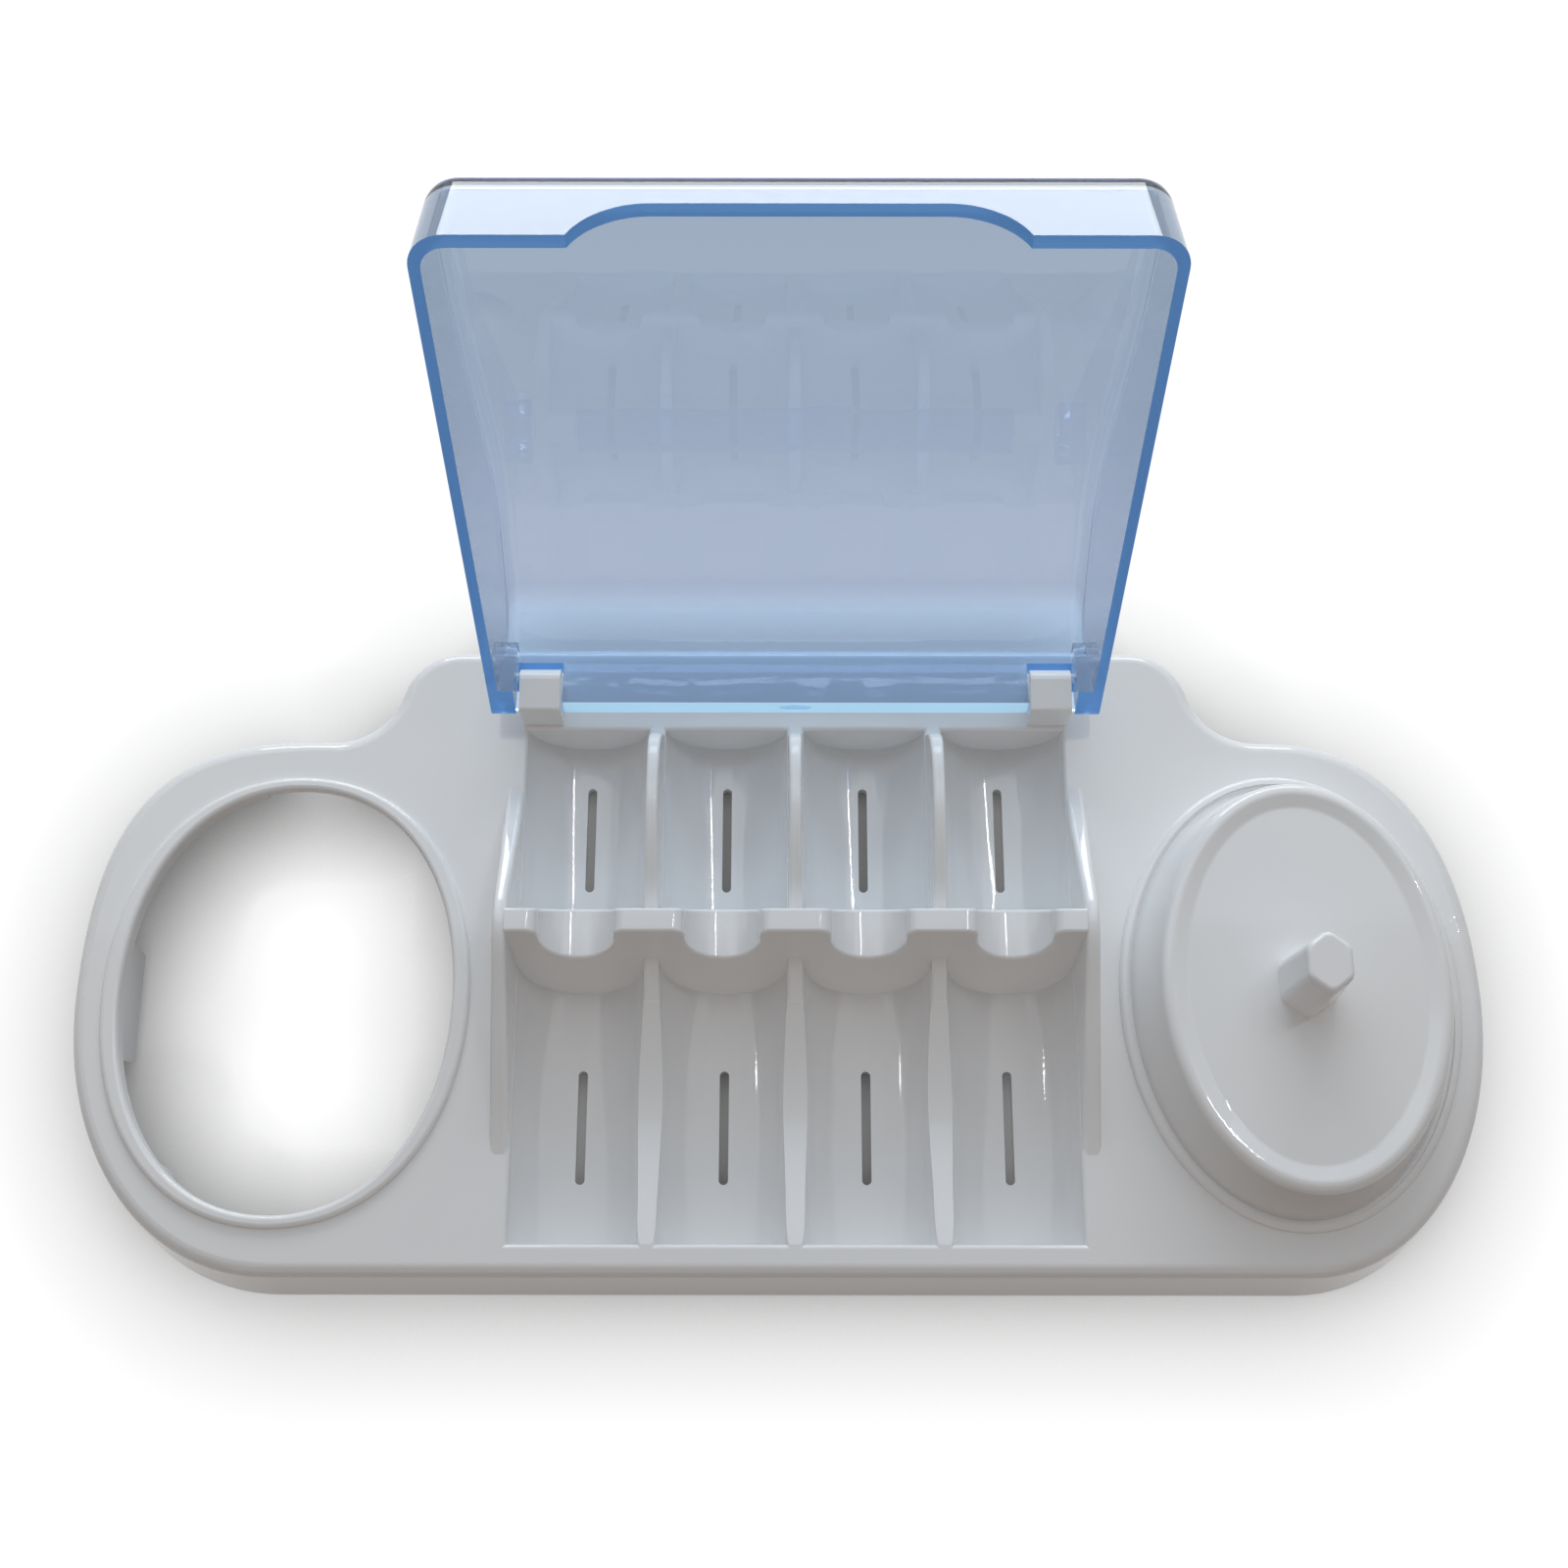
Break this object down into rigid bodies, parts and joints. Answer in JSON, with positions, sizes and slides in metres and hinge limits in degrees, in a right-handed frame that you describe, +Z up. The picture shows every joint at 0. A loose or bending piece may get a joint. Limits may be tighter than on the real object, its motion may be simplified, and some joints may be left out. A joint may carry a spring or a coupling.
{
  "type": "electric toothbrush holder",
  "caption": "Countertop holder for an electric toothbrush, with a charger opening, lidded cradles for brush heads and a stand for the handle.",
  "frame": {"origin": "on the table, under the middle of the footprint that the holder takes with its lid open", "axes": "+X to the handle stand, +Y to the hinge at the back, +Z up"},
  "size_m": [0.2134, 0.1253, 0.1026],
  "materials": {
    "white_plastic": "glossy moulded, cool white",
    "clear_blue_plastic": "polished, transparent light blue",
    "foot_rubber": "matt pale grey"
  },
  "bodies": {
    "tray": {"base_tray": "white_plastic", "handle_stand": "white_plastic", "foot_front_left": "foot_rubber", "foot_front_right": "foot_rubber", "foot_rear_left": "foot_rubber", "foot_rear_right": "foot_rubber"},
    "lid": {"flip_lid": "clear_blue_plastic"}
  },
  "joints": [
    {"name": "lid_hinge", "type": "hinge", "parent": "tray", "child": "lid", "pos_m": [0.00255, 0.0274, 0.0181], "axis": [1, 0, 0], "range_deg": [0, 108.5]}
  ]
}
